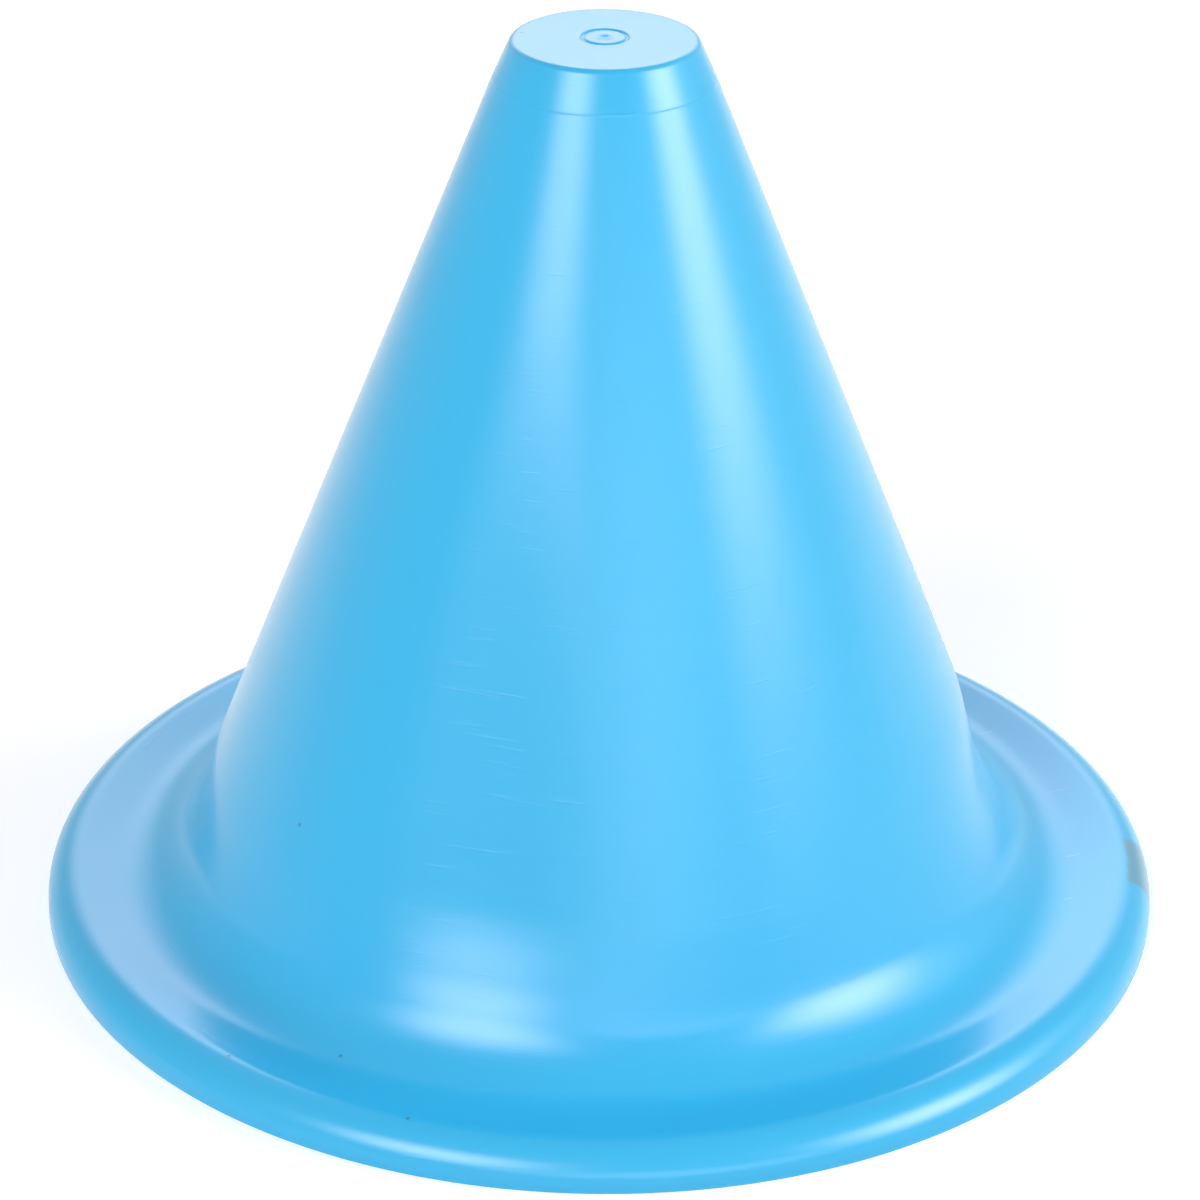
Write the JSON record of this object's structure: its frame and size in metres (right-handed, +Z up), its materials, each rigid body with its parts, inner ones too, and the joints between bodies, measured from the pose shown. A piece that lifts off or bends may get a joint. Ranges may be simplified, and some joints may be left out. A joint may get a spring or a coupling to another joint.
{
  "type": "training cone",
  "caption": "Low sports training cone: hollow one-piece plastic shell with a flat closed tip, flared skirt, dished round brim and rolled-down lip, open underneath for stacking.",
  "frame": {"origin": "on the cone's axis, at the level of the surface that the foot of the rolled lip rests on", "axes": "+Z up along the cone's axis to the tip; the cone is round, and -Y is the side the picture shows"},
  "size_m": [0.225, 0.225, 0.18],
  "materials": {
    "cone_plastic": "smooth glossy sky-blue soft plastic, faint turning marks round the axis"
  },
  "bodies": {
    "root": {"cone_shell": "cone_plastic"}
  },
  "joints": []
}
